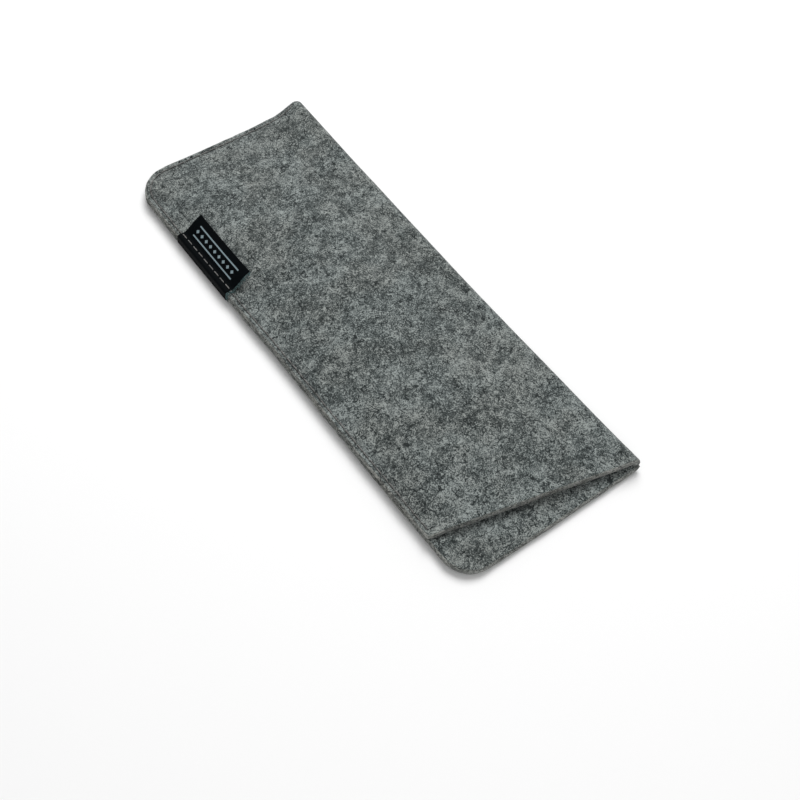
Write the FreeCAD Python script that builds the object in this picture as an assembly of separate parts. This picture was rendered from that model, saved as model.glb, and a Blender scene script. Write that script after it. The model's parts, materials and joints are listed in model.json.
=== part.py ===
import FreeCAD, Part
import math
import os

from FreeCAD import Vector

# A soft slip-in eyeglasses case, lying empty on its back panel. Millimetres, +Z up.
#
# One sheet of wool felt is folded along +Y and sewn along -Y and across the closed end at -X. The
# mouth is at +X, where the front panel is cut on a slant and stands back from the back panel. A woven
# label is folded over the sewn side and held by the seam, and its front end swings freely about the
# seam. The origin is the centre of the underside of the whole case.

# Driving dimensions of the felt case.
case_length = 170.0
case_width = 65.0
felt_thickness = 2.4
fold_gap = 1.6  # inside the fold, between the two panels
pocket_height = 5.2  # inside the pocket at the middle of its width
arch_flatness = 0.16  # 0 is a plain half wave across the pocket, more is flatter on top
arch_ease = 1.25  # 1 starts the arch with a crease at the seam, more starts it softly
pocket_rise_length = 45.0  # from the closed end's seam to full height
fold_gap_fade = 6  # more keeps the fold's own gap closer to the fold
closed_corner_radius = 11.0
mouth_corner_radius = 9.0
mouth_setback_at_fold = 0.5  # the front panel's edge, back from the back panel's
mouth_setback_at_seam = 15.2

# The sewn edges curl off the surface, so the lower thread and the label clear it.
edge_lift_width = 14.0

# The lockstitch seam.
seam_inset = 1.5  # stitch line, in from the cut edge
sewn_thickness = 3.2  # both layers together, where the side seam presses them
press_fade = 12.0  # from the stitch line to where both layers have their full thickness
seam_flat = 1.4  # felt that the seam holds down, in from the stitch line
stitch_pitch = 3.0
thread_diameter = 0.36
thread_bend = 0.25  # radius of the thread's middle line where it turns into a hole
seam_end_margin = 2.2  # last hole to the front panel's mouth edge
seam_stop_below_fold = 8.0  # last hole across the closed end to the fold's outside

# The woven label.
label_length = 27.2  # along the seam
label_from_closed_end = 27.5
label_thickness = 0.35
label_tail = 3.0  # past the stitch line, on the back
label_root = 1.1  # stitch line to the line where the front end swings
label_flap_length = 7.3  # from that line to the free edge
label_lift_angle = 36.0  # degrees above the back panel, at rest
label_rounding = 0.8  # of the label's thickness, where it folds round the cut edge

# Clearances.
laid_gap = 0.05  # between things that lie on each other
hinge_gap = 0.3  # between the sewn and the free part of the label
flap_gap = 0.15  # under the free part where it bends
surface_gap = 0.05  # under the lower thread, to what the case lies on

# Worked-out sizes and places.
needle_hole_diameter = 2 * thread_diameter + 4 * laid_gap
label_proud = laid_gap + label_thickness
lift_left_at_stitches = 1 - seam_inset / edge_lift_width
thread_room = laid_gap + thread_diameter + surface_gap
side_edge_lift = (label_proud + thread_room) / lift_left_at_stitches
closed_edge_lift = thread_room / lift_left_at_stitches
seam_edge_y = -(case_width + label_proud) / 2 + label_proud
fold_edge_y = seam_edge_y + case_width
closed_edge_x = -case_length / 2
mouth_edge_x = case_length / 2
stitch_y = seam_edge_y + seam_inset
stitch_x = closed_edge_x + seam_inset
fold_radius = felt_thickness + fold_gap / 2
fold_inner_radius = fold_gap / 2
fold_centre_y = fold_edge_y - fold_radius
arch_y = stitch_y + seam_flat
panel_span = fold_centre_y - arch_y
well_above = 4 * (2 * felt_thickness + pocket_height)  # clear of the case, for cutting blocks
well_below = 4 * felt_thickness


def side_lift(y):
    """Height of the underside above the surface near the sewn side."""
    return side_edge_lift * max(0.0, 1.0 - (y - seam_edge_y) / edge_lift_width)


def closed_lift(x):
    """Height of the underside above the surface near the closed end."""
    return closed_edge_lift * max(0.0, 1.0 - (x - closed_edge_x) / edge_lift_width)


def underside(x, y):
    return max(side_lift(y), closed_lift(x))


def pocket_opening(x, y):
    """Distance between the two panels, zero at the seam and arched over the middle of the width."""
    across = min(max((y - arch_y) / panel_span, 0.0), 1.0)
    along = min(max((x - stitch_x) / pocket_rise_length, 0.0), 1.0)
    rise = along * along * (3.0 - 2.0 * along)
    wave = math.sin(math.pi * across) + arch_flatness * math.sin(3 * math.pi * across)
    wave = max(wave / (1 - arch_flatness), 0.0)
    return pocket_height * rise * wave**arch_ease + max(fold_gap * across**fold_gap_fade, laid_gap)


def pressed(y):
    """How much thinner than two full layers the case is at the sewn side."""
    share = min(max((y - stitch_y) / press_fade, 0.0), 1.0)
    return (2 * felt_thickness - sewn_thickness) * (1 - share * share * (3.0 - 2.0 * share))


def pocket_floor(y):
    return felt_thickness + side_lift(y)


def front_face(x, y):
    """Height of the front panel's outer face."""
    return pocket_floor(y) + pocket_opening(x, y) + felt_thickness - pressed(y)


def front_mouth_edge(y):
    """Where the front panel's slanted mouth edge crosses a line across the case."""
    share = (fold_edge_y - y) / case_width
    setback = mouth_setback_at_fold + share * (mouth_setback_at_seam - mouth_setback_at_fold)
    return mouth_edge_x - setback


def face_from(edges):
    return Part.Face(Part.Wire(edges))


def polygon(points):
    return Part.makePolygon(points + [points[0]])


def tongue_under(height):
    """The space under a surface of the given height, from the sewn side to the centre of the fold."""
    rows = 25
    columns = 41
    x0 = closed_edge_x - seam_inset
    x_step = (case_length + 2 * seam_inset) / (rows - 1)
    y0 = seam_edge_y - seam_inset
    y_step = (fold_centre_y - y0) / (columns - 1)
    grid = []
    for i in range(rows):
        x = x0 + i * x_step
        ys = [y0 + j * y_step for j in range(columns)]
        grid.append([Vector(x, y, height(x, y)) for y in ys])
    surface = Part.BSplineSurface()
    surface.interpolate(grid)
    return surface.toShape().extrude(Vector(0, 0, -well_above))


def along_case(face):
    """A face in the plane x = 0, drawn out past both ends of the case."""
    overrun = 2 * seam_inset
    face.translate(Vector(closed_edge_x - overrun, 0, 0))
    return face.extrude(Vector(case_length + 2 * overrun, 0, 0))


def fold_half_round(radius, x0, x1):
    """The half of a round bar that lies beyond the fold's centre line."""
    low = Vector(x0, fold_centre_y, fold_radius - radius)
    side = Vector(x0, fold_centre_y + radius, fold_radius)
    high = Vector(x0, fold_centre_y, fold_radius + radius)
    edges = [Part.Arc(low, side, high).toShape(), Part.LineSegment(high, low).toShape()]
    return face_from(edges).extrude(Vector(x1 - x0, 0, 0))


def rounded_plan(x0, x1, y0, y1, closed_radius, mouth_radius):
    """A tall block with the plan of the case: both corners on the sewn side are round."""
    z0 = -2 * well_below
    diagonal = 1 - math.sqrt(0.5)

    def at(x, y):
        return Vector(x, y, z0)

    edges = [
        Part.LineSegment(at(x0, y1), at(x0, y0 + closed_radius)).toShape(),
        Part.Arc(
            at(x0, y0 + closed_radius),
            at(x0 + diagonal * closed_radius, y0 + diagonal * closed_radius),
            at(x0 + closed_radius, y0),
        ).toShape(),
        Part.LineSegment(at(x0 + closed_radius, y0), at(x1 - mouth_radius, y0)).toShape(),
        Part.Arc(
            at(x1 - mouth_radius, y0),
            at(x1 - diagonal * mouth_radius, y0 + diagonal * mouth_radius),
            at(x1, y0 + mouth_radius),
        ).toShape(),
        Part.LineSegment(at(x1, y0 + mouth_radius), at(x1, y1)).toShape(),
        Part.LineSegment(at(x1, y1), at(x0, y1)).toShape(),
    ]
    return face_from(edges).extrude(Vector(0, 0, well_above - z0))


def above_underside():
    """Everything above the underside: its flat, and the edges that are lifted along the seam."""
    y0 = seam_edge_y - seam_inset
    y1 = fold_edge_y + seam_inset
    side = [
        Vector(0, y0, side_lift(y0)),
        Vector(0, seam_edge_y + edge_lift_width, 0),
        Vector(0, y1, 0),
        Vector(0, y1, well_above),
        Vector(0, y0, well_above),
    ]
    x0 = closed_edge_x - seam_inset
    x1 = closed_edge_x + edge_lift_width
    wedge = [
        Vector(x0, y0, -well_below),
        Vector(x1, y0, -well_below),
        Vector(x1, y0, 0),
        Vector(x0, y0, closed_lift(x0)),
    ]
    closed_wedge = Part.Face(polygon(wedge)).extrude(Vector(0, y1 - y0, 0))
    return along_case(Part.Face(polygon(side))).cut(closed_wedge)


def above_floor():
    """Everything above the inner face of the back panel."""
    y0 = seam_edge_y - seam_inset
    y1 = fold_edge_y + seam_inset
    side = [
        Vector(0, y0, pocket_floor(y0)),
        Vector(0, seam_edge_y + edge_lift_width, felt_thickness),
        Vector(0, y1, felt_thickness),
        Vector(0, y1, well_above),
        Vector(0, y0, well_above),
    ]
    return along_case(Part.Face(polygon(side)))


def beyond_front_mouth():
    """The space over the back panel that the front panel's slanted edge leaves open."""
    y0 = seam_edge_y - seam_inset
    y1 = fold_edge_y + seam_inset
    plan = [
        Vector(front_mouth_edge(y0), y0, 0),
        Vector(case_length, y0, 0),
        Vector(case_length, y1, 0),
        Vector(front_mouth_edge(y1), y1, 0),
    ]
    return above_floor().common(Part.Face(polygon(plan)).extrude(Vector(0, 0, well_above)))


def seam_path():
    """The stitch line's length and the place at a distance along it, from the mouth to the fold."""
    radius = closed_corner_radius - seam_inset
    side_start = front_mouth_edge(stitch_y) - seam_end_margin
    side_end = stitch_x + radius
    closed_end = fold_edge_y - seam_stop_below_fold
    side_length = side_start - side_end
    arc_length = radius * math.pi / 2
    closed_length = closed_end - (stitch_y + radius)
    total = side_length + arc_length + closed_length

    def at(distance):
        if distance <= side_length:
            return side_start - distance, stitch_y
        if distance <= side_length + arc_length:
            turn = (distance - side_length) / radius
            x = side_end - radius * math.sin(turn)
            return x, stitch_y + radius * (1 - math.cos(turn))
        rest = distance - side_length - arc_length
        return stitch_x, stitch_y + radius + rest

    return total, at


def label_range():
    start = closed_edge_x + label_from_closed_end
    return start, start + label_length


def needle_holes():
    """Places of the needle holes, evenly spaced along the stitch line."""
    total, at = seam_path()
    count = round(total / stitch_pitch)
    return [at(i * total / count) for i in range(count + 1)]


def under_label(x, y):
    start, end = label_range()
    return start - stitch_pitch < x < end + stitch_pitch and y < stitch_y + laid_gap


def rod(start, end, diameter):
    along = end - start
    return Part.makeCylinder(diameter / 2, along.Length, start, along)


def bend(before, corner, after):
    """The thread's middle line where it turns at a corner: where that starts, ends, and the arc."""
    u = (corner - before).normalize()
    v = (after - corner).normalize()
    half_turn = u.getAngle(v) / 2
    start = corner - u * thread_bend * math.tan(half_turn)
    end = corner + v * thread_bend * math.tan(half_turn)
    middle = corner + (v - u).normalize() * thread_bend * (1 / math.cos(half_turn) - 1)
    return start, end, Part.Arc(start, middle, end).toShape()


def stitch(first, second, height, middle, outward):
    """One stitch: a run on the felt between two needle holes, with a leg down each of them."""
    radius = thread_diameter / 2
    a = Vector(first[0], first[1], 0)
    b = Vector(second[0], second[1], 0)
    step = (b - a).normalize() * (radius + laid_gap / 2)
    a = a + step
    b = b - step
    halfway = height((first[0] + second[0]) / 2, (first[1] + second[1]) / 2)
    arched = max(outward * (halfway - (height(*first) + height(*second)) / 2), 0.0)
    rest = outward * (laid_gap + radius + arched)
    a_top = Vector(a.x, a.y, height(*first) + rest)
    b_top = Vector(b.x, b.y, height(*second) + rest)
    a_leg = Vector(a.x, a.y, middle(*first) + outward * laid_gap)
    b_leg = Vector(b.x, b.y, middle(*second) + outward * laid_gap)
    a_start, a_end, a_turn = bend(a_leg, a_top, b_top)
    b_start, b_end, b_turn = bend(a_top, b_top, b_leg)
    middle_line = [
        Part.LineSegment(a_leg, a_start).toShape(),
        a_turn,
        Part.LineSegment(a_end, b_start).toShape(),
        b_turn,
        Part.LineSegment(b_end, b_leg).toShape(),
    ]
    section = face_from([Part.makeCircle(radius, a_leg, a_start - a_leg)])
    return Part.Wire(middle_line).makePipe(section)


def seam_middle(x, y):
    return (underside(x, y) + front_face(stitch_x, y)) / 2


def front_seat(x, y):
    """Height that the needle thread lies on: the front panel, or the label on it."""
    lift = label_proud if under_label(x, y) else 0.0
    return front_face(stitch_x, y) + lift


def back_seat(x, y):
    """Height that the bobbin thread hangs under: the back panel, or the label's tail."""
    drop = label_proud if under_label(x, y) else 0.0
    return underside(x, y) - drop


def thread(seat, outward):
    holes = needle_holes()
    pairs = zip(holes[:-1], holes[1:])
    return Part.makeCompound([stitch(a, b, seat, seam_middle, outward) for a, b in pairs])


def needle_drills():
    drills = []
    for x, y in needle_holes():
        low = Vector(x, y, -well_below)
        drills.append(rod(low, Vector(x, y, well_above), needle_hole_diameter))
    return drills


def two_panels():
    """Both panels as far as the fold's centre line, sewn together round the pocket."""
    outline = rounded_plan(
        closed_edge_x, mouth_edge_x, seam_edge_y, fold_edge_y,
        closed_corner_radius, mouth_corner_radius,
    )
    pocket_outline = rounded_plan(
        stitch_x, mouth_edge_x + seam_inset, stitch_y, fold_edge_y,
        closed_corner_radius - seam_inset, mouth_corner_radius,
    )
    outside = tongue_under(front_face).common(above_underside()).common(outline)
    between = tongue_under(lambda x, y: front_face(x, y) - felt_thickness).common(above_floor())
    return outside.cut(between.common(pocket_outline))


def fold():
    """The bend that joins the panels, open at the mouth and closed by the seam's allowance."""
    outside = fold_half_round(fold_radius, closed_edge_x, mouth_edge_x)
    return outside.cut(fold_half_round(fold_inner_radius, stitch_x, mouth_edge_x + seam_inset))


def felt_body():
    """The folded felt sheet with its pocket, slanted front mouth edge and needle holes."""
    sheet = two_panels().fuse(fold()).cut(beyond_front_mouth())
    return sheet.cut(needle_drills()).removeSplitter()


def label_wrap():
    """The sewn part of the label: over the front of the seam, round the cut edge and onto the back."""
    start, _ = label_range()
    root_y = stitch_y + label_root - label_thickness / 2 - hinge_gap
    tail_y = stitch_y + label_tail

    def layer(offset):
        edge_y = seam_edge_y - offset
        return [
            Vector(start, root_y, front_face(start, root_y) + offset),
            Vector(start, stitch_y, front_face(start, stitch_y) + offset),
            Vector(start, edge_y, front_face(start, seam_edge_y) + offset),
            Vector(start, edge_y, side_lift(seam_edge_y) - offset),
            Vector(start, tail_y, side_lift(tail_y) - offset),
        ]

    section = polygon(layer(laid_gap) + layer(label_proud)[::-1])
    strip = Part.Face(section).extrude(Vector(label_length, 0, 0))
    outer_edges = [
        edge
        for edge in strip.Edges
        if edge.Length > label_length - laid_gap
        and abs(edge.BoundBox.YMax - (seam_edge_y - label_proud)) < laid_gap / 2
    ]
    strip = strip.makeFillet(label_rounding * label_thickness, outer_edges)
    return strip.cut(needle_drills())


def label_flap_pivot():
    """The line, as y and z, about which the label's front end swings."""
    y = stitch_y + label_root
    return y, front_face(label_range()[0], y) + flap_gap + label_thickness / 2


def label_flap():
    """The label's free front end, lifted off the front panel and round where it bends."""
    start, _ = label_range()
    y, z = label_flap_pivot()
    half = label_thickness / 2
    corner = Vector(start, y, z - half)
    flat = Part.makeBox(label_length, label_flap_length, label_thickness, corner)
    bend = rod(Vector(start, y, z), Vector(start + label_length, y, z), label_thickness)
    flap = flat.fuse(bend).removeSplitter()
    flap.rotate(Vector(0, y, z), Vector(1, 0, 0), label_lift_angle)
    return flap


def main():
    os.makedirs("parts", exist_ok=True)
    nodes = {
        "felt_body": felt_body(),
        "needle_thread": thread(front_seat, 1),
        "bobbin_thread": thread(back_seat, -1),
        "label_wrap": label_wrap(),
        "label_flap": label_flap(),
    }
    for name, shape in nodes.items():
        shape.exportStep(f"parts/{name}.step")
        box = shape.optimalBoundingBox(False, False)
        print(
            f"{name}: {len(shape.Solids)} solids, {shape.Volume:.1f} mm3, valid {shape.isValid()},"
            f" x {box.XMin:.2f}..{box.XMax:.2f} y {box.YMin:.2f}..{box.YMax:.2f}"
            f" z {box.ZMin:.2f}..{box.ZMax:.2f}"
        )
    print("label flap pivot y, z:", label_flap_pivot())


main()
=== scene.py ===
import json
import math
import random

import bmesh
import bpy
from mathutils import Matrix, Vector, kdtree, noise


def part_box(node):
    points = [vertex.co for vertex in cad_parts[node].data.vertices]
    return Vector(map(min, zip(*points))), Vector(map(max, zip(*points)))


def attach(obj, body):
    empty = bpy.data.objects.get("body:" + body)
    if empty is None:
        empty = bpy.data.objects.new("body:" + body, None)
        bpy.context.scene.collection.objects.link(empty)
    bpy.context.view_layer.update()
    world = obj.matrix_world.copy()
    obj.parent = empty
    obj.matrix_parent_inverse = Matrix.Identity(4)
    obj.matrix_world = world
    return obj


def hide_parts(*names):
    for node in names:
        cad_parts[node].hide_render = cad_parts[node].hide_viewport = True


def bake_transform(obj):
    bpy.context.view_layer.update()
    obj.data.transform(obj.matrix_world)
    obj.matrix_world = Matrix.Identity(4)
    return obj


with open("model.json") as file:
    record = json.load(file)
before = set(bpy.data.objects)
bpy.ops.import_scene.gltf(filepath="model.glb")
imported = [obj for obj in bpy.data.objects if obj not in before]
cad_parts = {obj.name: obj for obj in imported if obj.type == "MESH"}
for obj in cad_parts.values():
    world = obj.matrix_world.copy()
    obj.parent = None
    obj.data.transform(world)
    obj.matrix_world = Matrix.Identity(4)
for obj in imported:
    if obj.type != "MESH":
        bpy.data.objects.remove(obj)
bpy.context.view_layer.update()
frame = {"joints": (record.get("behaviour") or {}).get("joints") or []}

# ---------------------------------------------------------------------------------------------
# Studio: a plain white table under one broad soft light, with a weaker light from the mouth's
# side. The camera stands off the mouth and looks down on the front panel.
# ---------------------------------------------------------------------------------------------
camera_place = Vector((0.1806, -0.1557, 0.3067))
camera_target = Vector((0.0277, -0.0098, 0.0))
camera_roll = math.radians(8.3)
camera_lens = 57.6  # millimetres, on the usual 36 mm sensor

camera_data = bpy.data.cameras.new("camera")
camera_data.lens = camera_lens
camera = bpy.data.objects.new("camera", camera_data)
bpy.context.collection.objects.link(camera)
gaze = (camera_target - camera_place).to_track_quat("-Z", "Y").to_matrix().to_4x4()
camera.matrix_world = Matrix.Translation(camera_place) @ gaze @ Matrix.Rotation(camera_roll, 4, "Z")
bpy.context.scene.camera = camera


def soft_light(name, place, side, power):
    """A square light panel that faces the case."""
    data = bpy.data.lights.new(name, "AREA")
    data.size = side
    data.energy = power
    lamp = bpy.data.objects.new(name, data)
    lamp.location = place
    lamp.rotation_euler = (-Vector(place)).to_track_quat("-Z", "Y").to_euler()
    bpy.context.collection.objects.link(lamp)


soft_light("overhead_softbox", (-0.30, 0.30, 0.75), 0.55, 6.5)
soft_light("mouth_fill", (0.6, -0.3, 0.5), 0.6, 1.2)

surroundings = bpy.data.worlds.new("white_studio")
surroundings.use_nodes = True
sky = surroundings.node_tree.nodes["Background"]
sky.inputs["Strength"].default_value = 0.42
sky.inputs["Color"].default_value = (1.0, 1.0, 1.0, 1.0)
bpy.context.scene.world = surroundings
bpy.context.scene.view_settings.view_transform = "Standard"

table_mesh = bpy.data.meshes.new("table_top")
table_shape = bmesh.new()
bmesh.ops.create_grid(table_shape, x_segments=1, y_segments=1, size=1.5)
table_shape.to_mesh(table_mesh)
table_shape.free()
table_top = bpy.data.objects.new("table_top", table_mesh)
bpy.context.collection.objects.link(table_top)
table_paint = bpy.data.materials.new("white_table")
table_paint.use_nodes = True
table_shader = table_paint.node_tree.nodes["Principled BSDF"]
table_shader.inputs["Base Color"].default_value = (0.88, 0.88, 0.88, 1.0)
table_shader.inputs["Roughness"].default_value = 0.7
table_mesh.materials.append(table_paint)

# ---------------------------------------------------------------------------------------------
# Felt pouch: one sheet of grey wool felt, cut flat, folded along its middle and sewn to itself
# along one side and across one end. The front half's mouth edge is cut on a slant, and the two
# sewn corners are cut round through both layers.
# ---------------------------------------------------------------------------------------------
MM = 0.001  # one millimetre, in the scene's metres

felt_low, felt_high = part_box("felt_body")
closed_end = felt_low.x
mouth_end = felt_high.x
felt_length = mouth_end - closed_end
felt_thickness = 2.4 * MM
panel_width = 65.4 * MM  # of the flat sheet, from the middle of the fold to a cut edge
closed_corner = 11 * MM
mouth_corner = 9 * MM
slant_at_fold = 0.5 * MM  # how far the front's mouth edge stands back
slant_at_seam = 15.2 * MM
stitch_inset = 1.5 * MM
stitch_pitch = 3.0 * MM
seam_end_margin = 2.2 * MM  # last needle hole to the front's mouth edge
seam_stop_below_fold = 8 * MM  # last needle hole across the closed end to the fold's outside
end_seam_fades_from = 20 * MM  # y where the end seam's hold begins to fade, and where it is gone
end_seam_gone_at = 28 * MM
seam_hold = 1.4 * MM  # felt that the seam keeps shut, in from the stitch line
side_squash = 0.34  # share of each layer's thickness that the side seam presses out
end_squash = 0.24
squash_fade = 11 * MM
seam_groove = 0.10  # share of a layer that the thread draws in along the seam
needle_dent = 0.16  # and further at each needle hole
groove_width = 0.7 * MM
needle_dent_width = 0.75 * MM
back_groove_share = 0.6  # of the front's, since the bobbin thread pulls less
pocket_height = 3.0 * MM  # between the panels of the empty pouch
pocket_at_mouth = 1.0 * MM
pocket_rise = 45 * MM  # length over which it opens, from the closed end
pocket_flattens_from = 35 * MM  # x from which it lies flatter towards the mouth
fold_gap = 1.5 * MM  # hollow inside the fold along most of its length
fold_gap_at_end = 2.9 * MM  # where the end seam stops, the fold springs open
fold_gap_at_mouth = 1.1 * MM
panel_parting = 0.05 * MM  # left between the two panels where they touch
edge_curl = 1.0 * MM  # how far the sewn edge stands off the table
edge_curl_width = 14 * MM
end_curl_share = 0.55  # of the same at the closed end
end_curl_fades_from = 18 * MM  # y where the closed end's curl begins to fade
felt_columns = 212
felt_rows = 152
row_crowding = 0.42  # how much closer together the rows are at the fold and at the cut edges
merge_distance = 0.33 * MM  # grid points this near to the cut edge are merged into it
rim_rows = 4


def ease(value, low, high):
    """0 below low, 1 above high and a soft step between."""
    share = min(max((value - low) / (high - low), 0.0), 1.0)
    return share * share * (3 - 2 * share)


def swell(value, centre, width):
    """A soft hump, 1 at its centre."""
    return math.exp(-(((value - centre) / width) ** 2))


def wander(x, y, size, seed):
    """Smooth unevenness between about -1 and 1, with lumps of that size in metres."""
    return noise.noise(Vector((x / size, y / size, seed)))


def fold_line(x):
    """Outside of the fold, which draws in along the middle of the case and springs out at its ends."""
    drawn_in = 0.9 * MM * swell(x, 8 * MM, 55 * MM)
    sprung = 0.35 * MM * swell(x, mouth_end, 8 * MM)
    return felt_high.y - drawn_in + sprung + 0.15 * MM * wander(x, 0, 24 * MM, 2.0)


def seam_line(x):
    """The sewn cut edges, drawn in a little by the seam."""
    return felt_low.y + 0.45 * MM * swell(x, -2 * MM, 26 * MM) + 0.18 * MM * wander(x, 0, 13 * MM, 8.0)


def fold_hollow(x):
    """Height of the hollow inside the fold."""
    at_end = swell(x, closed_end, 17 * MM) * (fold_gap_at_end - fold_gap)
    at_mouth = swell(x, mouth_end, 13 * MM) * (fold_gap_at_mouth - fold_gap)
    return fold_gap + at_end + at_mouth


def underside(x, y):
    """Height of the back panel's outer face over the table, which the sewn edges curl up from."""
    side = 1.0 - (y - seam_line(x)) / edge_curl_width
    below_fold = 1 - ease(y, end_curl_fades_from, end_seam_gone_at)
    end = end_curl_share * (1.0 - (x - closed_end) / edge_curl_width) * below_fold
    return edge_curl * max(0.0, side, end) ** 1.3


def pocket_opening(x, y):
    """Distance between the two panels: shut at the seam, arched over the middle."""
    shut_at = seam_line(x) + stitch_inset + seam_hold
    across = (y - shut_at) / (fold_line(x) - felt_thickness - fold_hollow(x) / 2 - shut_at)
    across = min(max(across, 0.0), 1.0)
    rise = ease(x, closed_end + stitch_inset, closed_end + stitch_inset + pocket_rise)
    height = pocket_height + (pocket_at_mouth - pocket_height) * ease(x, pocket_flattens_from, mouth_end)
    arch = height * rise * math.sin(math.pi * across) ** 1.2
    lumps = 0.45 * MM * rise * wander(x, y, 31 * MM, 3.7) * math.sin(math.pi * across)
    return max(arch + lumps, 0.0) + fold_hollow(x) * across**9 + panel_parting


def needle_holes():
    """Places of the needle holes, from the mouth along the side, round the corner and up the end."""
    radius = closed_corner - stitch_inset
    start = mouth_end - slant_at_seam - seam_end_margin
    corner_x = closed_end + closed_corner
    corner_y = felt_low.y + closed_corner
    side = start - corner_x
    bend = radius * math.pi / 2
    end = felt_high.y - seam_stop_below_fold - corner_y
    count = round((side + bend + end) / stitch_pitch)
    holes = []
    for i in range(count + 1):
        way = (side + bend + end) * i / count
        if way <= side:
            x = start - way
            holes.append((x, seam_line(x) + stitch_inset))
        elif way <= side + bend:
            turn = (way - side) / radius
            x = corner_x - radius * math.sin(turn)
            holes.append((x, seam_line(x) + closed_corner - radius * math.cos(turn)))
        else:
            holes.append((closed_end + stitch_inset, corner_y + way - side - bend))
    return holes


seam_holes = needle_holes()
hole_finder = kdtree.KDTree(len(seam_holes))
for i, (hole_x, hole_y) in enumerate(seam_holes):
    hole_finder.insert((hole_x, hole_y, 0), i)
hole_finder.balance()


def outside_stitch_line(x, y):
    """How far a point lies outside the stitch line, which is negative inside it."""
    corner_x = closed_end + closed_corner
    corner_y = seam_line(x) + closed_corner
    if x < corner_x and y < corner_y:
        return math.hypot(x - corner_x, y - corner_y) - closed_corner + stitch_inset
    return max(seam_line(x) + stitch_inset - y, closed_end + stitch_inset - x)


def sewn_here(x, y):
    """1 along the seam, and 0 past its two ends."""
    last_x = mouth_end - slant_at_seam
    on_side = 1 - ease(x, last_x - stitch_pitch, last_x + stitch_pitch)
    return on_side * (1 - ease(y, end_seam_fades_from, end_seam_gone_at))


def layer_share(x, y):
    """Share of the felt's own thickness that is left where the seam presses the layers together."""
    side = side_squash * (1 - ease(y - seam_line(x) - stitch_inset, 0.0, squash_fade))
    end = end_squash * (1 - ease(x - closed_end - stitch_inset, 0.0, squash_fade))
    return 1.0 - sewn_here(x, y) * max(side, end)


def thread_groove(x, y):
    """Depth that the thread draws the outer face in, most at each needle hole."""
    line = seam_groove * swell(outside_stitch_line(x, y), 0.0, groove_width)
    distance = hole_finder.find((x, y, 0))[2]
    hole = needle_dent * swell(distance, 0.0, needle_dent_width)
    return felt_thickness * (line + hole) * sewn_here(x, y)


def front_height(x, y):
    """Height of the front panel's outer face, before the thread's groove."""
    return underside(x, y) + 2 * felt_thickness * layer_share(x, y) + pocket_opening(x, y)


def felt_place(x, across, depth):
    """Where a point of the flat sheet lies in the folded pouch. depth is 0 inside and 1 outside."""
    hollow = fold_hollow(x)
    bend = math.pi / 2 * (hollow + felt_thickness) / 2
    centre_y = fold_line(x) - felt_thickness - hollow / 2
    if abs(across) <= bend:
        turn = math.pi / 2 * across / bend
        radius = hollow / 2 + depth * felt_thickness
        height = felt_thickness + hollow / 2 + radius * math.sin(turn)
        return Vector((x, centre_y + radius * math.cos(turn), height))
    share = (abs(across) - bend) / (panel_width - bend)
    y = centre_y - share * (centre_y - seam_line(x))
    layer = felt_thickness * layer_share(x, y)
    if across < 0:
        groove = back_groove_share * thread_groove(x, y)
        return Vector((x, y, underside(x, y) + layer * (1 - depth) + depth * groove))
    roof = underside(x, y) + layer + pocket_opening(x, y)
    return Vector((x, y, roof + depth * (layer - thread_groove(x, y))))


def snip(sheet, point, outward, near):
    """One straight cut of the flat sheet: what lies outward of the line falls off."""
    faces = [face for face in sheet.faces if near(face.calc_center_median())]
    edges = dict.fromkeys(edge for face in faces for edge in face.edges)
    verts = dict.fromkeys(vert for face in faces for vert in face.verts)
    bmesh.ops.bisect_plane(
        sheet, geom=[*faces, *edges, *verts], plane_co=point, plane_no=outward, clear_outer=True, dist=1e-6
    )


def round_corner(sheet, corner_x, corner_y, inward_x, inward_y, radius):
    """Cuts a corner round, with short straight snips side by side."""
    centre = Vector((corner_x + inward_x * radius, corner_y + inward_y * radius, 0))
    snips = 14

    def near(middle):
        return abs(middle.x - corner_x) < radius and abs(middle.y - corner_y) < radius

    for i in range(snips):
        turn = math.pi / 2 * (i + 0.5) / snips
        outward = Vector((-inward_x * math.cos(turn), -inward_y * math.sin(turn), 0))
        snip(sheet, centre + outward * radius, outward, near)


def cut_felt():
    """The sheet as it is cut flat, with x along the case and y across it from the fold."""
    sheet = bmesh.new()
    bmesh.ops.create_grid(sheet, x_segments=felt_columns, y_segments=felt_rows, size=1.0)
    for vert in sheet.verts:
        share = abs(vert.co.y)
        finer_at_ends = share - row_crowding * math.sin(2 * math.pi * share) / (2 * math.pi)
        vert.co.x = closed_end + (vert.co.x + 1) / 2 * felt_length
        vert.co.y = math.copysign(finer_at_ends * panel_width, vert.co.y)
    slant = (slant_at_seam - slant_at_fold) / panel_width
    fold_corner = Vector((mouth_end - slant_at_fold, 0.0, 0.0))
    snip(sheet, fold_corner, Vector((1.0, slant, 0.0)).normalized(), lambda middle: middle.y > 0)
    round_corner(sheet, closed_end, panel_width, 1, -1, closed_corner)
    round_corner(sheet, closed_end, -panel_width, 1, 1, closed_corner)
    round_corner(sheet, mouth_end, -panel_width, -1, 1, mouth_corner)
    rim = [vert for vert in sheet.verts if vert.is_boundary]
    close = bmesh.ops.find_doubles(sheet, verts=sheet.verts, keep_verts=rim, dist=merge_distance)
    bmesh.ops.weld_verts(sheet, targetmap=close["targetmap"])
    return sheet


def thicken(sheet):
    """Gives the sheet its outer skin at z 1, over the inner one at z 0, and a rim between them."""
    grown = bmesh.ops.extrude_face_region(sheet, geom=list(sheet.faces))
    for item in grown["geom"]:
        if isinstance(item, bmesh.types.BMVert):
            item.co.z = 1.0
    upright = [edge for edge in sheet.edges if abs(edge.verts[0].co.z - edge.verts[1].co.z) > 0.5]
    bmesh.ops.subdivide_edges(sheet, edges=upright, cuts=rim_rows, use_grid_fill=True)
    bmesh.ops.recalc_face_normals(sheet, faces=sheet.faces)


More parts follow.
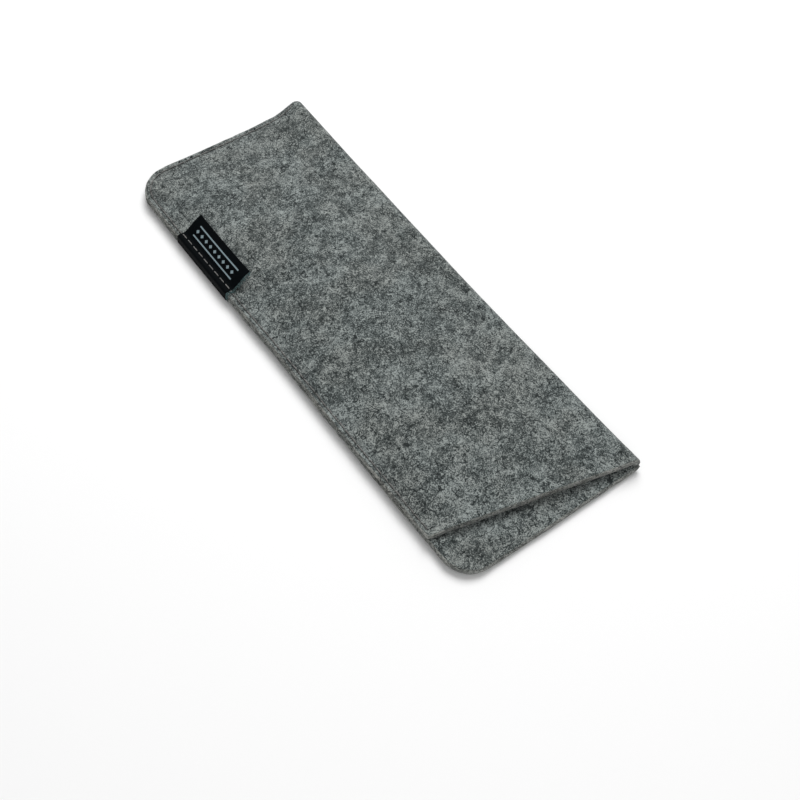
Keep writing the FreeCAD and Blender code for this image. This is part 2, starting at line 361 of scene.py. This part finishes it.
def rim_of(sheet):
    """The faces of the cut edge."""
    def height(face):
        levels = [vert.co.z for vert in face.verts]
        return max(levels) - min(levels)

    return [face for face in sheet.faces if height(face) > 0.1]


def soften_rim(sheet, rim):
    """Rounds the cut edge and makes it a little ragged, as scissors leave wool felt."""
    moves = {}
    for face in rim:
        for vert in face.verts:
            moves[vert] = moves.get(vert, Vector((0, 0, 0))) + Vector((face.normal.x, face.normal.y, 0))
    for vert, outward in moves.items():
        if outward.length < 1e-6:
            continue
        level = abs(2 * vert.co.z - 1)
        bulge = 0.2 - 0.42 * level**3
        ragged = 0.12 * wander(vert.co.x, vert.co.y, 2.2 * MM, 3 * vert.co.z)
        ragged += 0.10 * wander(vert.co.x, vert.co.y, 9 * MM, 4.0)
        vert.co += outward.normalized() * (bulge + ragged) * MM


sheet = cut_felt()
thicken(sheet)
felt_rim = rim_of(sheet)
soften_rim(sheet, felt_rim)
# The cut edge takes the second felt material, whose lighter tones are a painted highlight.
for face in felt_rim:
    face.material_index = 1
for vert in sheet.verts:
    x, across, depth = vert.co
    vert.co = felt_place(x, across, depth)
    nap = 0.05 * wander(x, across, 3.4 * MM, 4 * depth) + 0.035 * wander(x, across, 1.5 * MM, 9 + 4 * depth)
    vert.co.z = max(vert.co.z + nap * MM, 0.0)
for face in sheet.faces:
    face.smooth = True
bmesh.ops.recalc_face_normals(sheet, faces=sheet.faces)
felt_mesh = bpy.data.meshes.new("felt_pouch")
sheet.to_mesh(felt_mesh)
sheet.free()
felt_pouch = bpy.data.objects.new("felt_pouch", felt_mesh)
bpy.context.collection.objects.link(felt_pouch)
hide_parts("felt_body")
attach(felt_pouch, "case")


def add_node(tree, kind, inputs=None, **settings):
    """One shader node, with its settings and with each input a value or another node's output."""
    node = tree.nodes.new(kind)
    for name, value in settings.items():
        setattr(node, name, value)
    for name, value in (inputs or {}).items():
        if isinstance(value, bpy.types.NodeSocket):
            tree.links.new(value, node.inputs[name])
        else:
            node.inputs[name].default_value = value
    return node


def math_node(tree, operation, first, second=0.5):
    """One sum on two values. An operation that takes one value leaves the second unused."""
    return add_node(tree, "ShaderNodeMath", {0: first, 1: second}, operation=operation).outputs[0]


def noise_field(tree, vector, size, seed, detail=0.0, distortion=0.0):
    """A grey noise with lumps of that size in metres. Another seed gives another pattern."""
    inputs = {"Vector": vector, "W": seed, "Scale": 1 / size, "Detail": detail, "Distortion": distortion}
    return add_node(tree, "ShaderNodeTexNoise", inputs, noise_dimensions="4D").outputs["Fac"]


def fade(tree, value, low, high, start=0.0, end=1.0):
    """Turns low..high of a value into start..end, with soft ends."""
    inputs = {"Value": value, "From Min": low, "From Max": high, "To Min": start, "To Max": end}
    return add_node(tree, "ShaderNodeMapRange", inputs, interpolation_type="SMOOTHSTEP").outputs["Result"]


def fibre_layer(tree, vector, size, width, seed):
    """Thin curly lines: where a noise crosses its middle value, broken up by a second noise."""
    from_middle = math_node(tree, "SUBTRACT", noise_field(tree, vector, size, seed), 0.5)
    from_middle = math_node(tree, "ABSOLUTE", from_middle)
    line = fade(tree, from_middle, 0.0, width, 1.0, 0.0)
    broken = fade(tree, noise_field(tree, vector, size * 1.3, seed + 17.3), 0.42, 0.56)
    return math_node(tree, "MULTIPLY", line, broken)


def build_wool_group():
    """Heather wool: pale and dark curly fibres over a cloudy ground. Tone is 0.5 on average."""
    tree = bpy.data.node_groups.new("heather_wool", "ShaderNodeTree")
    tree.interface.new_socket("Vector", in_out="INPUT", socket_type="NodeSocketVector")
    for name in ("Tone", "Height", "Warmth"):
        tree.interface.new_socket(name, in_out="OUTPUT", socket_type="NodeSocketFloat")
    vector = tree.nodes.new("NodeGroupInput").outputs["Vector"]
    tone = fade(tree, noise_field(tree, vector, 6 * MM, 1.0, 2.0), 0.3, 0.7, 0.35, 0.65)
    clumps = fade(tree, noise_field(tree, vector, 1.9 * MM, 5.0, 1.0), 0.25, 0.75, -0.16, 0.16)
    tone = math_node(tree, "ADD", tone, clumps)
    grain = fade(tree, noise_field(tree, vector, 0.36 * MM, 9.0, 2.0), 0.2, 0.8, -0.46, 0.46)
    tone = math_node(tree, "ADD", tone, grain)
    height = grain
    pale_fibres = (1.3 * MM, 0.045, 21.0, 0.58), (1.0 * MM, 0.050, 33.0, 0.50), (0.8 * MM, 0.06, 47.0, 0.40)
    dark_fibres = (1.7 * MM, 0.035, 58.0, -0.80), (1.1 * MM, 0.05, 64.0, -0.70)
    for size, width, seed, strength in pale_fibres + dark_fibres:
        lines = math_node(tree, "MULTIPLY", fibre_layer(tree, vector, size, width, seed), strength)
        tone = math_node(tree, "ADD", tone, lines)
        height = math_node(tree, "ADD", height, lines)
    warmth = fade(tree, noise_field(tree, vector, 11 * MM, 71.0, 1.0), 0.35, 0.68)
    out = tree.nodes.new("NodeGroupOutput")
    tree.links.new(tone, out.inputs["Tone"])
    tree.links.new(height, out.inputs["Height"])
    tree.links.new(warmth, out.inputs["Warmth"])
    return tree


wool_group = build_wool_group()


def wool_material(name, dark, middle, light, stretch, bump_height):
    """Felt in three tones from dark to light fibres. stretch squeezes the pattern along each axis."""
    material = bpy.data.materials.new(name)
    material.use_nodes = True
    tree = material.node_tree
    shader = tree.nodes["Principled BSDF"]
    place = add_node(tree, "ShaderNodeTexCoord").outputs["Object"]
    place = add_node(tree, "ShaderNodeMapping", {"Vector": place, "Scale": stretch}).outputs["Vector"]
    wool = add_node(tree, "ShaderNodeGroup", node_tree=wool_group)
    tree.links.new(place, wool.inputs["Vector"])
    ramp = add_node(tree, "ShaderNodeValToRGB", {"Fac": wool.outputs["Tone"]})
    ramp.color_ramp.elements[0].position = 0.0
    ramp.color_ramp.elements[0].color = (*dark, 1)
    ramp.color_ramp.elements[1].position = 1.0
    ramp.color_ramp.elements[1].color = (*light, 1)
    ramp.color_ramp.elements.new(0.5).color = (*middle, 1)
    tint = add_node(
        tree, "ShaderNodeMix", {"Factor": wool.outputs["Warmth"]}, data_type="RGBA", blend_type="MULTIPLY"
    )
    tree.links.new(ramp.outputs["Color"], tint.inputs[6])
    tint.inputs[7].default_value = (1.0, 0.965, 0.945, 1.0)
    tree.links.new(tint.outputs[2], shader.inputs["Base Color"])
    rough = fade(tree, wool.outputs["Tone"], 0.2, 0.8, 1.0, 0.86)
    tree.links.new(rough, shader.inputs["Roughness"])
    bump_inputs = {"Height": wool.outputs["Height"], "Strength": 0.55, "Distance": bump_height}
    bump = add_node(tree, "ShaderNodeBump", bump_inputs)
    tree.links.new(bump.outputs["Normal"], shader.inputs["Normal"])
    shader.inputs["Specular IOR Level"].default_value = 0.2
    shader.inputs["Sheen Weight"].default_value = 0.12
    shader.inputs["Sheen Roughness"].default_value = 0.6
    return material


felt_face = wool_material(
    "grey_heather_felt",
    dark=(0.011, 0.016, 0.016), middle=(0.070, 0.084, 0.083), light=(0.28, 0.311, 0.302),
    stretch=(1, 1, 1), bump_height=0.22 * MM,
)
# The cut edge's copy of the felt. Its stretched fibre pattern is the edge's own texture. Its tones are
# about twice as light as the face's, a painted highlight of light catching the edge.
felt_cut_painted_highlight = wool_material(
    "cut_edge_felt_painted_highlight",
    dark=(0.030, 0.035, 0.032), middle=(0.130, 0.140, 0.132), light=(0.33, 0.345, 0.325),
    stretch=(0.7, 0.7, 1.8), bump_height=0.3 * MM,
)
felt_mesh.materials.append(felt_face)
felt_mesh.materials.append(felt_cut_painted_highlight)

# ---------------------------------------------------------------------------------------------
# Lockstitch seam: two grey spun threads, the needle's on the front and the bobbin's on the back.
# Each stitch shows as a short arch of twisted thread that sinks into the felt at its two holes.
# ---------------------------------------------------------------------------------------------
thread_radius = 0.17 * MM
thread_plies = 2
ply_bulge = 0.16  # how far a ply stands out, as a share of the radius
cut_end_share = 0.55  # radius of a thread's cut end, as a share of its middle's
twist_turns = 2.5  # of the plies in one stitch
tail_turns = 4
hole_clearance = 0.04  # of a stitch, left free at each needle hole
sinking_share = 0.17  # of a stitch, over which it sinks at each hole
sinking_depth = 3.2 * thread_radius
table_clearance = 2.3 * thread_radius  # least height of the back thread's seat
label_low, label_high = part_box("label_wrap")
ribbon_thickness = 0.35 * MM


def tube_template(steps, sides):
    """A plain closed tube along Z, cut into steps."""
    tube = bmesh.new()
    bmesh.ops.create_cone(tube, cap_ends=True, segments=sides, radius1=1.0, radius2=1.0, depth=1.0)
    long_edges = [edge for edge in tube.edges if abs(edge.verts[0].co.z - edge.verts[1].co.z) > 0.5]
    bmesh.ops.subdivide_edges(tube, edges=long_edges, cuts=steps - 1, use_grid_fill=True)
    mesh = bpy.data.meshes.new("tube_template")
    tube.to_mesh(mesh)
    tube.free()
    return mesh


def thread_tube(shape, path, radius, turns, template):
    """Adds a closed tube of twisted plies. path gives the middle line's points from 0 to 1."""
    reach = 0.02  # of the path, to each side of a point, to find its direction
    first = len(shape.verts)
    shape.from_mesh(template)
    shape.verts.ensure_lookup_table()
    for vert in shape.verts[first:]:
        way = min(max(vert.co.z + 0.5, 0.0), 1.0)
        angle = math.atan2(vert.co.y, vert.co.x)
        here = path(way)
        along = (path(min(way + reach, 1.0)) - path(max(way - reach, 0.0))).normalized()
        side = along.cross(Vector((0, 0, 1)))
        side = side.normalized() if side.length > 1e-3 else Vector((0, 1, 0))
        up = side.cross(along)
        bulge = 1.0 + ply_bulge * math.cos(thread_plies * angle + 2 * math.pi * turns * way)
        thick = radius * bulge * (cut_end_share if way in (0.0, 1.0) else 1.0)
        vert.co = here + (side * math.cos(angle) + up * math.sin(angle)) * thick


stitch_tube = tube_template(12, 8)


def finish_piece(shape, name, material):
    """Makes a smooth-shaded object of a shape."""
    for face in shape.faces:
        face.smooth = True
    bmesh.ops.recalc_face_normals(shape, faces=shape.faces)
    mesh = bpy.data.meshes.new(name)
    shape.to_mesh(mesh)
    shape.free()
    mesh.materials.append(material)
    piece = bpy.data.objects.new(name, mesh)
    bpy.context.collection.objects.link(piece)
    return piece


def on_label(x):
    """1 where the seam crosses the label, with a short step at the label's ends."""
    step = 0.5 * MM
    return ease(x, label_low.x - step, label_low.x) * (1 - ease(x, label_high.x, label_high.x + step))


def front_seat(x, y):
    """Height that the needle thread lies on."""
    label = ribbon_thickness * on_label(x) if y < label_high.y else 0.0
    return front_height(x, y) - 0.7 * seam_groove * felt_thickness + label


def back_seat(x, y):
    """Height that the bobbin thread lies under, which leaves the thread above the table."""
    label = ribbon_thickness * on_label(x) if y < label_high.y else 0.0
    return max(underside(x, y) + 0.4 * seam_groove * felt_thickness - label, table_clearance)


def stitch_path(start, end, aside, lift, seat, outward):
    """Middle line of one stitch: an arch that sinks into the felt at its two needle holes."""
    def path(way):
        flat = start.lerp(end, hole_clearance + (1 - 2 * hole_clearance) * way)
        flat += aside * math.sin(math.pi * way)
        sunk = sinking_depth * (1 - ease(min(way, 1 - way), 0.0, sinking_share))
        return Vector((flat.x, flat.y, seat(flat.x, flat.y) + outward * (lift - sunk)))

    return path


def stitch_row(name, seat, outward, node):
    """One thread of the seam, as a row of stitches on one face of the case."""
    shape = bmesh.new()
    dice = random.Random(name)
    for first_hole, second_hole in zip(seam_holes[:-1], seam_holes[1:]):
        start = Vector((*first_hole, 0))
        end = Vector((*second_hole, 0))
        across = (end - start).normalized().cross(Vector((0, 0, 1)))
        aside = across * dice.uniform(-0.07, 0.07) * MM
        lift = thread_radius * dice.uniform(0.75, 1.05)
        path = stitch_path(start, end, aside, lift, seat, outward)
        thread_tube(shape, path, thread_radius, twist_turns, stitch_tube)
    piece = finish_piece(shape, name, spun_thread)
    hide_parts(node)
    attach(piece, "case")


def build_spun_thread():
    """Grey spun polyester: fine lengthways filaments, paler and darker."""
    material = bpy.data.materials.new("grey_spun_thread")
    material.use_nodes = True
    tree = material.node_tree
    shader = tree.nodes["Principled BSDF"]
    place = add_node(tree, "ShaderNodeTexCoord").outputs["Object"]
    filaments = noise_field(tree, place, 0.12 * MM, 3.0, 2.0)
    patches = noise_field(tree, place, 2.5 * MM, 6.0)
    shade = math_node(tree, "MULTIPLY", filaments, fade(tree, patches, 0.3, 0.7, 0.75, 1.15))
    ramp = add_node(tree, "ShaderNodeValToRGB", {"Fac": shade})
    ramp.color_ramp.elements[0].position = 0.2
    ramp.color_ramp.elements[0].color = (0.085, 0.085, 0.082, 1)
    ramp.color_ramp.elements[1].position = 0.75
    ramp.color_ramp.elements[1].color = (0.23, 0.224, 0.218, 1)
    tree.links.new(ramp.outputs["Color"], shader.inputs["Base Color"])
    tree.links.new(fade(tree, filaments, 0.2, 0.8, 0.75, 0.55), shader.inputs["Roughness"])
    bump = add_node(tree, "ShaderNodeBump", {"Height": filaments, "Strength": 0.5, "Distance": 0.03 * MM})
    tree.links.new(bump.outputs["Normal"], shader.inputs["Normal"])
    shader.inputs["Specular IOR Level"].default_value = 0.3
    return material


spun_thread = build_spun_thread()
stitch_row("needle_stitches", front_seat, 1, "needle_thread")
stitch_row("bobbin_stitches", back_seat, -1, "bobbin_thread")

# The needle thread's cut end, left where the seam stops below the fold.
tail_start = Vector((*seam_holes[-1], 0))
tail_shape = bmesh.new()


def thread_end(way):
    """Middle line of the loose end, which curls up towards the fold."""
    x = tail_start.x - (0.9 * way**2 - 0.4 * way) * MM
    y = tail_start.y + (3.4 * way + 0.5 * math.sin(4 * way)) * MM
    lift = thread_radius * (0.8 + 1.2 * way) - 3 * thread_radius * (1 - ease(way, 0.0, 0.12))
    return Vector((x, y, front_height(x, y) + lift))


thread_tube(tail_shape, thread_end, thread_radius, tail_turns, stitch_tube)
thread_tail = finish_piece(tail_shape, "thread_tail", spun_thread)
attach(thread_tail, "case")

# ---------------------------------------------------------------------------------------------
# Woven label: a black satin ribbon folded over the sewn edge. The seam holds both of its layers,
# and its wide front end stands free, so it bends along the seam.
# ---------------------------------------------------------------------------------------------
swing = next(joint for joint in frame["joints"] if joint["name"] == "label_flap_swing")
swing_y = swing["pos_m"][1]
swing_z = swing["pos_m"][2]
label_middle = (label_low.x + label_high.x) / 2
ribbon_width = label_high.x - label_low.x
ribbon_gap = 0.05 * MM  # to the felt
ribbon_corner = 0.55 * MM  # radius at which it turns round the felt's edges
stitch_dip = 0.12 * MM  # how far the seam pulls it in
before_stitch = 0.6 * MM  # where it starts to dip
lead_share = 0.45  # of the way from the stitch line to the axis, where it lifts off the felt
lead_rise = 0.02 * MM
flap_lift = math.radians(36)
flap_length = 7.3 * MM
ribbon_rows = 120
ribbon_columns = 72


def ribbon_route():
    """The ribbon's middle line in a plane across the case, from its back tail to its free edge."""
    x = label_middle
    off = ribbon_gap + ribbon_thickness / 2
    edge_y = seam_line(x)
    stitch_y = edge_y + stitch_inset
    out_y = edge_y - off
    turn_start = edge_y + ribbon_corner
    low = underside(x, edge_y) - off
    high = front_height(x, edge_y) + off
    steps = 12
    turns = [math.pi / 2 * i / steps for i in range(1, steps)]
    route = []
    for i in range(steps + 1):
        y = label_high.y + (turn_start - label_high.y) * i / steps
        route.append(Vector((y, underside(x, y) - off)))
    for turn in turns:
        y = out_y + (ribbon_corner + off) * (1 - math.sin(turn))
        route.append(Vector((y, low + ribbon_corner * (1 - math.cos(turn)))))
    route.append(Vector((out_y, (low + high) / 2)))
    for turn in turns:
        y = out_y + (ribbon_corner + off) * (1 - math.cos(turn))
        route.append(Vector((y, high - ribbon_corner * (1 - math.sin(turn)))))
    for y in (turn_start, stitch_y - before_stitch):
        route.append(Vector((y, front_height(x, y) + off)))
    route.append(Vector((stitch_y, front_height(x, stitch_y) + off - stitch_dip)))
    lead = stitch_y + lead_share * (swing_y - stitch_y)
    route.append(Vector((lead, front_height(x, lead) + off + lead_rise)))
    flap_steps = 16
    for i in range(flap_steps + 1):
        way = i / flap_steps
        bow = 0.20 * math.sin(math.pi * min(way * 1.4, 1.0) / 2) - 0.12 * way - 0.10
        lift = flap_lift + bow
        out = flap_length * way
        route.append(Vector((swing_y + out * math.cos(lift), swing_z + out * math.sin(lift))))
    return route


ribbon_points = ribbon_route()
ribbon_way = [0.0]
for first, second in zip(ribbon_points[:-1], ribbon_points[1:]):
    ribbon_way.append(ribbon_way[-1] + (second - first).length)
ribbon_length = ribbon_way[-1]


def ribbon_at(way):
    """Point of the ribbon's middle line at a distance from its tail."""
    way = min(max(way, 0.0), ribbon_length)
    last = len(ribbon_way) - 2
    i = next((i for i in range(last) if way <= ribbon_way[i + 1]), last)
    share = (way - ribbon_way[i]) / (ribbon_way[i + 1] - ribbon_way[i])
    return ribbon_points[i].lerp(ribbon_points[i + 1], share)


def ribbon_middle(way):
    """The same line with its corners smoothed, as cloth takes them."""
    step_length = 0.14 * MM
    total = Vector((0, 0))
    for step in (-2, -1, 0, 1, 2):
        total += ribbon_at(way + step * step_length) * (3 - abs(step))
    return total / 9


def ribbon_place(along_x, way, depth):
    """Place of a point of the ribbon. depth is -0.5 on the face that lies on the felt."""
    reach = 0.1 * MM
    before = ribbon_middle(max(way - reach, 0.0))
    after = ribbon_middle(min(way + reach, ribbon_length))
    direction = (after - before).normalized()
    normal = Vector((direction.y, -direction.x))
    free = ease(way, ribbon_length - 7 * MM, ribbon_length)
    side = (along_x - label_middle) / (ribbon_width / 2)
    curl = free * (0.25 * side**2 - 0.18 * (1 - side**2) + 0.12 * side) * MM
    from_end = min(way, ribbon_length - way)
    ripple = 0.05 * MM * wander(along_x, way, 4 * MM, 6.0) * min(from_end / MM, 1.0)
    place = ribbon_middle(way) - normal * (depth * ribbon_thickness + ripple * free)
    return Vector((along_x, place.x, place.y + curl))


ribbon = bmesh.new()
bmesh.ops.create_grid(ribbon, x_segments=ribbon_columns, y_segments=ribbon_rows, size=1.0)
for vert in ribbon.verts:
    vert.co.x = label_low.x + (vert.co.x + 1) / 2 * ribbon_width
    vert.co.y = (vert.co.y + 1) / 2 * ribbon_length
grown = bmesh.ops.extrude_face_region(ribbon, geom=list(ribbon.faces))
for item in grown["geom"]:
    if isinstance(item, bmesh.types.BMVert):
        item.co.z = 1.0
ribbon_map = ribbon.loops.layers.uv.new("cloth")
for face in ribbon.faces:
    for loop in face.loops:
        loop[ribbon_map].uv = ((loop.vert.co.x - label_low.x) / MM, loop.vert.co.y / MM)
for vert in ribbon.verts:
    vert.co = ribbon_place(vert.co.x, vert.co.y, vert.co.z - 0.5)


def distance_from(tree, value, centre):
    """How far a value is from a centre, always positive."""
    return math_node(tree, "ABSOLUTE", math_node(tree, "SUBTRACT", value, centre))


def woven_border(tree, along, up):
    """Mask of the border: a row of diamonds between two rules. along and up are in millimetres."""
    border_centre = ribbon_length / MM - 4.2
    rule_offset = 1.75
    diamond_repeat = 2.4
    side_margin = 3.0
    half_width = ribbon_width / MM / 2
    from_centre = distance_from(tree, up, border_centre)
    rules = fade(tree, distance_from(tree, from_centre, rule_offset), 0.17, 0.27, 1.0, 0.0)
    cell = math_node(tree, "FRACT", math_node(tree, "DIVIDE", along, diamond_repeat))
    from_cell = math_node(tree, "MULTIPLY", distance_from(tree, cell, 0.5), diamond_repeat)
    diamonds = fade(tree, math_node(tree, "ADD", from_cell, from_centre), 0.62, 0.74, 1.0, 0.0)
    border = math_node(tree, "MAXIMUM", rules, diamonds)
    stop = half_width - side_margin
    inside = fade(tree, distance_from(tree, along, half_width), stop - 0.1, stop + 0.1, 1.0, 0.0)
    return math_node(tree, "MULTIPLY", border, inside)


def build_label_cloth():
    """Black satin ribbon with fine ribs, and a plain woven border in pale blue-grey on its free end."""
    material = bpy.data.materials.new("black_woven_ribbon")
    material.use_nodes = True
    tree = material.node_tree
    shader = tree.nodes["Principled BSDF"]
    cloth = add_node(tree, "ShaderNodeUVMap", uv_map="cloth").outputs["UV"]
    split = add_node(tree, "ShaderNodeSeparateXYZ", {"Vector": cloth})
    along = split.outputs["X"]
    up = split.outputs["Y"]
    rib_pitch = 0.24
    float_pitch = 1.6 * rib_pitch
    ribs = math_node(tree, "SINE", math_node(tree, "MULTIPLY", up, 2 * math.pi / rib_pitch))
    floats = math_node(tree, "SINE", math_node(tree, "MULTIPLY", along, 2 * math.pi / float_pitch))
    crossings = math_node(tree, "MULTIPLY", math_node(tree, "MULTIPLY", ribs, floats), 0.4)
    weave = math_node(tree, "ADD", math_node(tree, "MULTIPLY", ribs, 0.5), crossings)
    pattern = woven_border(tree, along, up)
    place = add_node(tree, "ShaderNodeTexCoord").outputs["Object"]
    dust = noise_field(tree, place, 0.5 * MM, 12.0, 2.0)
    ground = add_node(tree, "ShaderNodeValToRGB", {"Fac": dust})
    ground.color_ramp.elements[0].position = 0.3
    ground.color_ramp.elements[0].color = (0.0003, 0.0010, 0.0015, 1)
    ground.color_ramp.elements[1].position = 0.85
    ground.color_ramp.elements[1].color = (0.0012, 0.0026, 0.0036, 1)
    yarn = add_node(tree, "ShaderNodeValToRGB", {"Fac": fade(tree, weave, -0.8, 0.8)})
    yarn.color_ramp.elements[0].color = (0.13, 0.18, 0.20, 1)
    yarn.color_ramp.elements[1].color = (0.30, 0.38, 0.41, 1)
    paint = add_node(tree, "ShaderNodeMix", {"Factor": pattern}, data_type="RGBA")
    tree.links.new(ground.outputs["Color"], paint.inputs[6])
    tree.links.new(yarn.outputs["Color"], paint.inputs[7])
    tree.links.new(paint.outputs[2], shader.inputs["Base Color"])
    tree.links.new(fade(tree, weave, -0.8, 0.8, 0.74, 0.56), shader.inputs["Roughness"])
    raised = math_node(tree, "ADD", weave, math_node(tree, "MULTIPLY", pattern, 0.8))
    bump = add_node(tree, "ShaderNodeBump", {"Height": raised, "Strength": 0.5, "Distance": 0.05 * MM})
    tree.links.new(bump.outputs["Normal"], shader.inputs["Normal"])
    shader.inputs["Specular IOR Level"].default_value = 0.04
    return material


label_cloth = build_label_cloth()
woven_label = finish_piece(ribbon, "woven_label", label_cloth)
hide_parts("label_wrap", "label_flap")
# A point just under the stitch line, half a millimetre below the flap's axis.
bend_start = Vector((0, seam_line(label_low.x) + stitch_inset + 0.2 * MM, swing_z - 0.5 * MM))
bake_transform(woven_label)

# Frayed end: the ribbon was cut across its warp at the mouth's side, so short dark and teal
# threads stand out of that end along the sewn part and the free part.
fray_count = 130
fray_radius = 0.06 * MM
fray_from = 0.30  # of the ribbon's length, from the back tail
fray_span = 0.69


def fray_path(way, reach, droop, drift):
    """Middle line of one loose thread, from just inside the ribbon's end outwards."""
    end_margin = 0.1 * MM

    def path(share):
        at = min(max(way + drift * share, end_margin), ribbon_length - end_margin)
        root = ribbon_place(label_high.x, at, 0.0)
        return root + Vector((reach * share - 0.25 * MM, 0, droop * share * share))

    return path


fray = bmesh.new()
fray_tube = tube_template(4, 4)
dice = random.Random(11)
for i in range(fray_count):
    way = ribbon_length * (fray_from + fray_span * (i + dice.random()) / fray_count)
    reach = dice.uniform(0.5, 1.8) * MM
    droop = dice.uniform(-0.5, 0.35) * MM
    drift = dice.uniform(-0.5, 0.5) * MM
    thread_tube(fray, fray_path(way, reach, droop, drift), fray_radius, 0, fray_tube)


def build_fray():
    """Loose warp ends: black with some teal ones."""
    material = bpy.data.materials.new("frayed_warp")
    material.use_nodes = True
    tree = material.node_tree
    shader = tree.nodes["Principled BSDF"]
    place = add_node(tree, "ShaderNodeTexCoord").outputs["Object"]
    tint = add_node(tree, "ShaderNodeValToRGB", {"Fac": noise_field(tree, place, 0.35 * MM, 2.0, 1.0)})
    tint.color_ramp.elements[0].position = 0.38
    tint.color_ramp.elements[0].color = (0.004, 0.010, 0.012, 1)
    tint.color_ramp.elements[1].position = 0.58
    tint.color_ramp.elements[1].color = (0.070, 0.140, 0.142, 1)
    tree.links.new(tint.outputs["Color"], shader.inputs["Base Color"])
    rough = fade(tree, noise_field(tree, place, 0.2 * MM, 4.0), 0.3, 0.7, 0.5, 0.75)
    tree.links.new(rough, shader.inputs["Roughness"])
    return material


label_fray = finish_piece(fray, "label_fray", build_fray())
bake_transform(label_fray)
